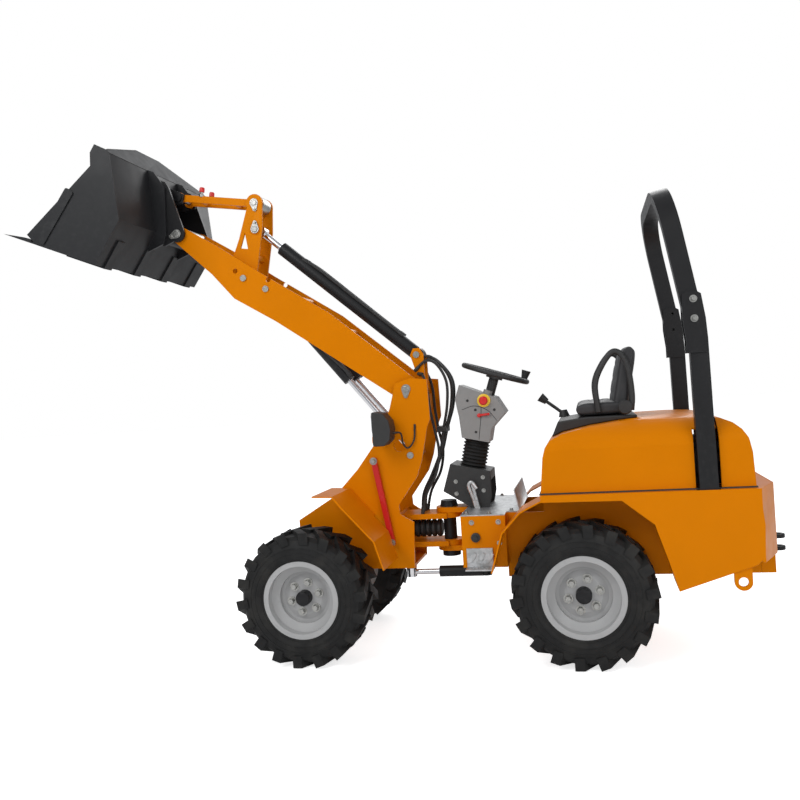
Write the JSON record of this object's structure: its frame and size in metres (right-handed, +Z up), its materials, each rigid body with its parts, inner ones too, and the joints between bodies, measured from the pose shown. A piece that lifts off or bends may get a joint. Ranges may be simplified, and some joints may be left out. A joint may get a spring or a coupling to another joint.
{
  "type": "wheel loader",
  "caption": "Compact articulated wheel loader with a raised boom, bell-crank linkage, quick hitch and bucket, open seat under a two-post roll bar, and lugged tyres.",
  "frame": {"origin": "bottom centre of the whole machine in the pose of the picture, on the ground between the wheels", "axes": "+X towards the rear of the machine, so the bucket is at -X; +Y towards the machine's right; +Z up"},
  "size_m": [3.3646, 0.96, 2.442],
  "materials": {
    "yellow_paint": "gloss",
    "black_paint": "satin",
    "galvanised": "satin",
    "black_plastic": "matte",
    "grey_plastic": "matte",
    "rubber": "matte",
    "seat_cover": "matte",
    "engine_iron": "matte",
    "red_paint": "gloss",
    "chrome_rod": "polished",
    "tyre_rubber": "matte",
    "silver_rim": "satin"
  },
  "bodies": {
    "rear": {"rear_frame": "yellow_paint", "articulation_pin": "black_paint", "deck": "galvanised", "steps": "galvanised", "rear_fenders": "yellow_paint", "rear_body": "yellow_paint", "hood_front": "yellow_paint", "rops_posts": "black_paint", "rops_hoop": "black_paint", "seat_base": "black_plastic", "seat_cushion": "seat_cover", "seat_back": "seat_cover", "joystick": "black_plastic", "console": "black_plastic", "bellows": "rubber", "column_housing": "grey_plastic", "pedal": "galvanised", "engine": "engine_iron", "rear_axle": "black_paint", "tow_hitch": "black_paint", "lashing_eyes": "yellow_paint"},
    "hood_lid": {"hood_rear": "yellow_paint"},
    "steering": {"steering_wheel": "black_plastic"},
    "front": {"front_frame": "yellow_paint", "front_fenders": "yellow_paint", "front_axle": "black_paint", "work_lamps": "black_plastic", "safety_strut": "red_paint", "mast_pins": "galvanised", "hinge_boot": "rubber"},
    "boom": {"boom": "yellow_paint", "lift_pins": "galvanised"},
    "lift_barrels": {"lift_barrels": "black_paint"},
    "lift_rods": {"lift_rods": "chrome_rod", "lift_foot_pin": "galvanised"},
    "tilt_barrel": {"tilt_barrel": "black_paint"},
    "tilt_rod": {"tilt_rod": "chrome_rod", "rod_pin": "galvanised"},
    "lever_pin": {"lever_pin": "galvanised"},
    "lever": {"lever": "yellow_paint"},
    "link_pin": {"link_pin": "galvanised"},
    "link": {"link": "yellow_paint", "hitch_link_pin": "galvanised"},
    "hitch_pin": {"hitch_pin": "galvanised"},
    "bucket": {"quick_hitch": "black_paint", "bucket": "black_paint"},
    "steer_barrel": {"steer_barrel": "black_paint"},
    "steer_rod": {"steer_rod": "chrome_rod"},
    "wheel_fl": {"tyre_fl": "tyre_rubber", "rim_fl": "silver_rim"},
    "wheel_fr": {"tyre_fr": "tyre_rubber", "rim_fr": "silver_rim"},
    "wheel_rl": {"tyre_rl": "tyre_rubber", "rim_rl": "silver_rim"},
    "wheel_rr": {"tyre_rr": "tyre_rubber", "rim_rr": "silver_rim"}
  },
  "joints": [
    {"name": "articulation", "type": "hinge", "parent": "rear", "child": "front", "pos_m": [0.23034, 0, 0.52], "axis": [0, 0, 1], "range_deg": [-40, 40]},
    {"name": "wheel_fl", "type": "hinge", "parent": "front", "child": "wheel_fl", "pos_m": [-0.36966, -0.347, 0.298], "axis": [0, 1, 0], "continuous": true},
    {"name": "wheel_fr", "type": "hinge", "parent": "front", "child": "wheel_fr", "pos_m": [-0.36966, 0.347, 0.298], "axis": [0, 1, 0], "continuous": true},
    {"name": "wheel_rl", "type": "hinge", "parent": "rear", "child": "wheel_rl", "pos_m": [0.83034, -0.347, 0.298], "axis": [0, 1, 0], "continuous": true},
    {"name": "wheel_rr", "type": "hinge", "parent": "rear", "child": "wheel_rr", "pos_m": [0.83034, 0.347, 0.298], "axis": [0, 1, 0], "continuous": true},
    {"name": "steering_wheel", "type": "hinge", "parent": "rear", "child": "steering", "pos_m": [0.45465, 0, 1.13109], "axis": [0.3256, 0, 0.9455], "continuous": true},
    {"name": "rear_hood", "type": "hinge", "parent": "rear", "child": "hood_lid", "pos_m": [1.37905, 0, 0.9898], "axis": [0, -1, 0], "range_deg": [0, 60]},
    {"name": "boom", "type": "hinge", "parent": "front", "child": "boom", "pos_m": [0.09434, 0, 1.182], "axis": [0, 1, 0], "range_deg": [-80, 0]},
    {"name": "lift_barrel_swing", "type": "hinge", "parent": "boom", "child": "lift_barrels", "pos_m": [-0.55992, 0, 1.69995], "axis": [0, 1, 0], "range_deg": [0, 10.77]},
    {"name": "lift_rod_slide", "type": "slide", "parent": "lift_barrels", "child": "lift_rods", "axis": [0.6237, 0, -0.7817], "range_m": [-0.36275, 0]},
    {"name": "tilt_barrel_swing", "type": "hinge", "parent": "front", "child": "tilt_barrel", "pos_m": [0.13134, 0, 1.338], "axis": [0, 1, 0], "range_deg": [-77.42, 0]},
    {"name": "hitch_level", "type": "hinge", "parent": "boom", "child": "hitch_pin", "pos_m": [-0.98973, 0, 2.00486], "axis": [0, 1, 0], "range_deg": [0, 80]},
    {"name": "bucket", "type": "hinge", "parent": "hitch_pin", "child": "bucket", "pos_m": [-0.98973, 0, 2.00486], "axis": [0, -1, 0], "range_deg": [0, 60]},
    {"name": "tilt_rod_slide", "type": "slide", "parent": "tilt_barrel", "child": "tilt_rod", "axis": [-0.7481, 0, 0.6636], "range_m": [0, 0.08482]},
    {"name": "lever_level", "type": "hinge", "parent": "boom", "child": "lever_pin", "pos_m": [-0.66885, 0, 1.76129], "axis": [0, 1, 0], "range_deg": [0, 39.22]},
    {"name": "lever_swing", "type": "hinge", "parent": "lever_pin", "child": "lever", "pos_m": [-0.66885, 0, 1.76129], "axis": [0, 1, 0], "range_deg": [-25.59, 0]},
    {"name": "link_level", "type": "hinge", "parent": "lever", "child": "link_pin", "pos_m": [-0.60874, 0, 2.12435], "axis": [0, 1, 0], "range_deg": [-40.77, 0]},
    {"name": "link_swing", "type": "hinge", "parent": "link_pin", "child": "link", "pos_m": [-0.60874, 0, 2.12435], "axis": [0, 1, 0], "range_deg": [0, 12.83]},
    {"name": "steer_barrel_swing", "type": "hinge", "parent": "rear", "child": "steer_barrel", "pos_m": [0.40035, -0.095, 0.338], "axis": [0, 0, 1], "range_deg": [-20.61, 20.61]},
    {"name": "steer_rod_slide", "type": "slide", "parent": "steer_barrel", "child": "steer_rod", "axis": [-0.9996, -0.0275, 0], "range_m": [-0.06863, 0.06863]}
  ],
  "couplings": [
    {"joint": "lift_barrel_swing", "follows": "boom", "ratio": -0.1346},
    {"joint": "lift_rod_slide", "follows": "boom", "m_per_rad": 0.2598},
    {"joint": "tilt_barrel_swing", "follows": "boom", "ratio": 0.9677},
    {"joint": "hitch_level", "follows": "boom", "ratio": -1},
    {"joint": "tilt_rod_slide", "follows": "bucket", "m_per_rad": 0.081},
    {"joint": "lever_level", "follows": "boom", "ratio": -0.4902},
    {"joint": "lever_swing", "follows": "bucket", "ratio": -0.4265},
    {"joint": "link_level", "follows": "boom", "ratio": 0.5096},
    {"joint": "link_swing", "follows": "bucket", "ratio": 0.2139},
    {"joint": "steer_barrel_swing", "follows": "articulation", "ratio": 0.5152},
    {"joint": "steer_rod_slide", "follows": "articulation", "m_per_rad": -0.0983}
  ]
}
